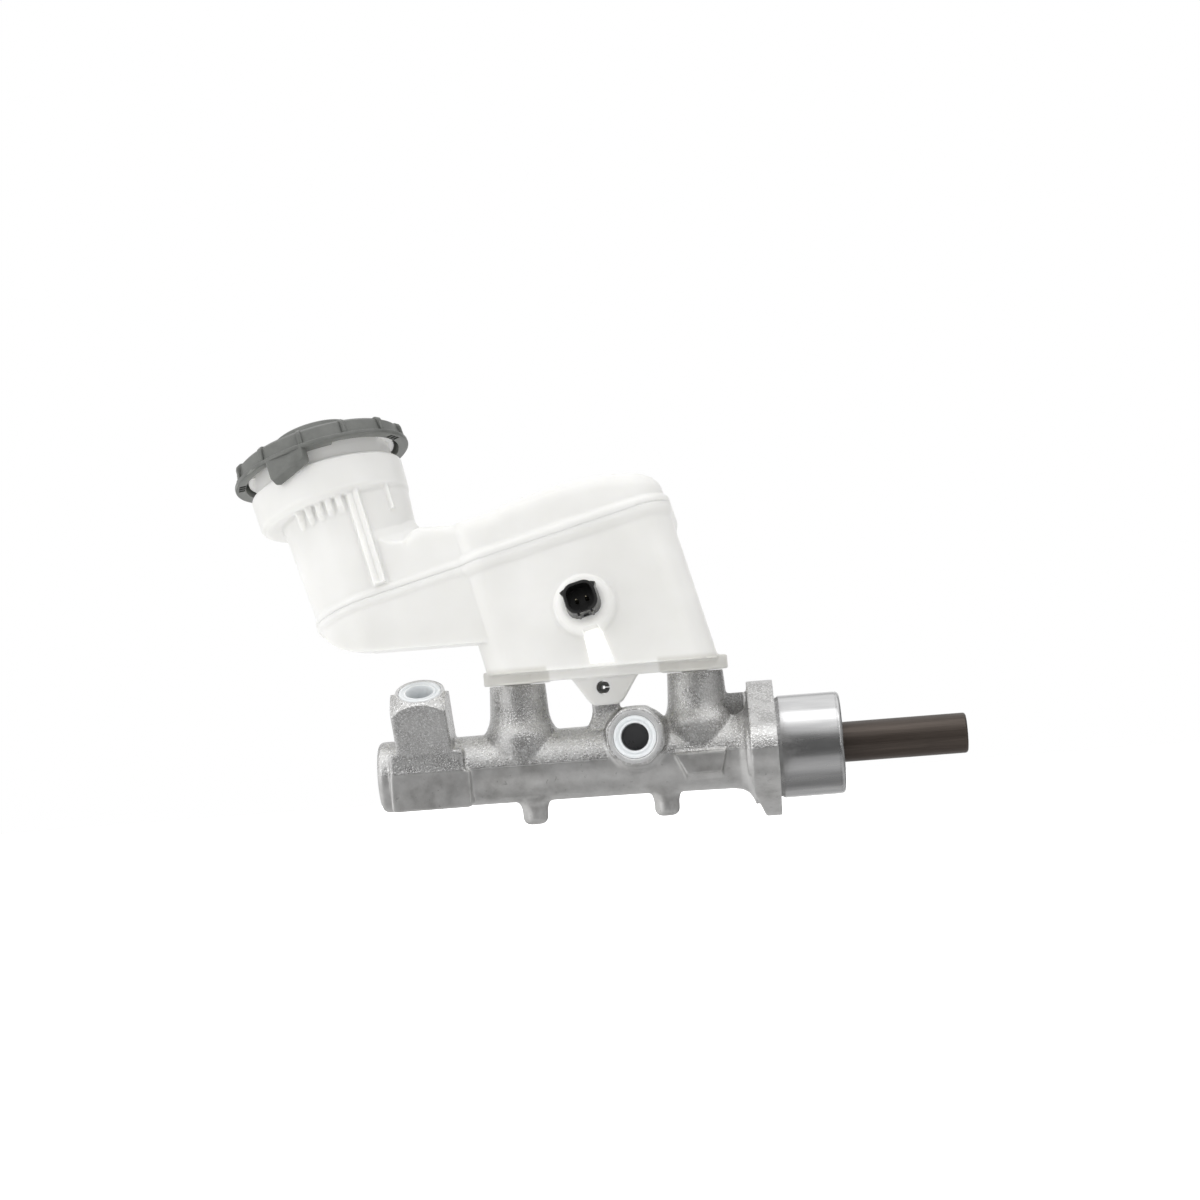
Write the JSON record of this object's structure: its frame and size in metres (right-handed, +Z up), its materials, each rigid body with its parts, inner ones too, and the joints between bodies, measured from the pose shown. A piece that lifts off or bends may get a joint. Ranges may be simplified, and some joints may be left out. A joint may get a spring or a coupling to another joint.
{
  "type": "brake master cylinder",
  "caption": "Tandem brake master cylinder: cast aluminium barrel with booster flange and plunger tail, translucent reservoir with offset filler neck, screw cap and level sensor.",
  "frame": {"origin": "centre of the closed nose face, on the bore axis", "axes": "+X along the bore from the closed nose towards the booster and the plunger tail, +Z up towards the reservoir, -Y towards the side outlet and the sensor"},
  "size_m": [0.2826, 0.1025, 0.1707],
  "materials": {
    "cast_aluminium": "sand-grained die casting, fine shot-blasted sparkle",
    "turned_aluminium": "bright turned",
    "zinc_steel": "zinc plated",
    "anodised_tail": "dark hard-anodised, satin",
    "black_rubber": "matt",
    "reservoir_plastic": "translucent natural polypropylene, smooth",
    "cap_plastic": "mid grey, lightly textured",
    "connector_plastic": "black, semi-gloss",
    "plug_plastic": "pale bluish-white, waxy",
    "nylon": "natural",
    "terminal_brass": "tinned",
    "reed_glass": "clear",
    "ferrite": "matt dark grey",
    "float_foam": "closed-cell foam"
  },
  "bodies": {
    "housing": {"cylinder_body": "cast_aluminium", "front_grommet": "black_rubber", "rear_grommet": "black_rubber", "reservoir_lower_shell": "reservoir_plastic", "reservoir_upper_shell": "reservoir_plastic", "filler_strainer": "nylon", "sensor_connector": "connector_plastic", "terminal_pin_left": "terminal_brass", "terminal_pin_right": "terminal_brass", "reed_switch": "reed_glass", "sensor_o_ring": "black_rubber", "reservoir_roll_pin": "zinc_steel", "secondary_stop_pin": "zinc_steel", "piston_guide": "nylon", "guide_cup": "black_rubber", "stop_washer": "zinc_steel", "snap_ring": "zinc_steel", "secondary_return_spring": "zinc_steel"},
    "primary_plunger": {"primary_piston": "anodised_tail", "primary_front_cup": "black_rubber", "primary_spring_washer": "zinc_steel", "retainer_screw": "zinc_steel"},
    "secondary_plunger": {"secondary_piston": "turned_aluminium", "secondary_front_cup": "black_rubber", "secondary_rear_cup": "black_rubber", "secondary_spring_seat": "zinc_steel", "primary_spring_retainer": "zinc_steel", "primary_return_spring": "zinc_steel"},
    "cap_seal": {"cap_diaphragm": "black_rubber"},
    "cap": {"reservoir_cap": "cap_plastic"},
    "float": {"level_float": "float_foam", "float_magnet": "ferrite"},
    "front_plug": {"transit_plug_front": "plug_plastic"},
    "top_plug": {"transit_plug_top": "plug_plastic"}
  },
  "joints": [
    {"name": "primary_stroke", "type": "slide", "parent": "housing", "child": "primary_plunger", "axis": [-1, 0, 0], "range_m": [0, 0.026], "stiffness_N_per_m": 2500, "springref_m": -0.02, "deforming": ["primary_return_spring"]},
    {"name": "secondary_stroke", "type": "slide", "parent": "housing", "child": "secondary_plunger", "axis": [-1, 0, 0], "range_m": [0, 0.013], "deforming": ["secondary_return_spring"]},
    {"name": "cap_lift", "type": "slide", "parent": "housing", "child": "cap_seal", "axis": [-0.2381, 0.177, 0.955], "range_m": [0, 0.04]},
    {"name": "cap_turn", "type": "hinge", "parent": "cap_seal", "child": "cap", "pos_m": [-0.01683, 0.02035, 0.12508], "axis": [-0.2381, 0.177, 0.955], "range_deg": [-90, 0]},
    {"name": "float_rise", "type": "slide", "parent": "housing", "child": "float", "axis": [-0.2381, 0.177, 0.955], "range_m": [0, 0.016]},
    {"name": "front_plug_pull", "type": "slide", "parent": "housing", "child": "front_plug", "axis": [0, -1, 0], "range_m": [0, 0.02]},
    {"name": "top_plug_pull", "type": "slide", "parent": "housing", "child": "top_plug", "axis": [0, -0.4695, 0.8829], "range_m": [0, 0.0125]}
  ],
  "couplings": [
    {"joint": "secondary_stroke", "follows": "primary_stroke", "ratio": 0.5}
  ]
}
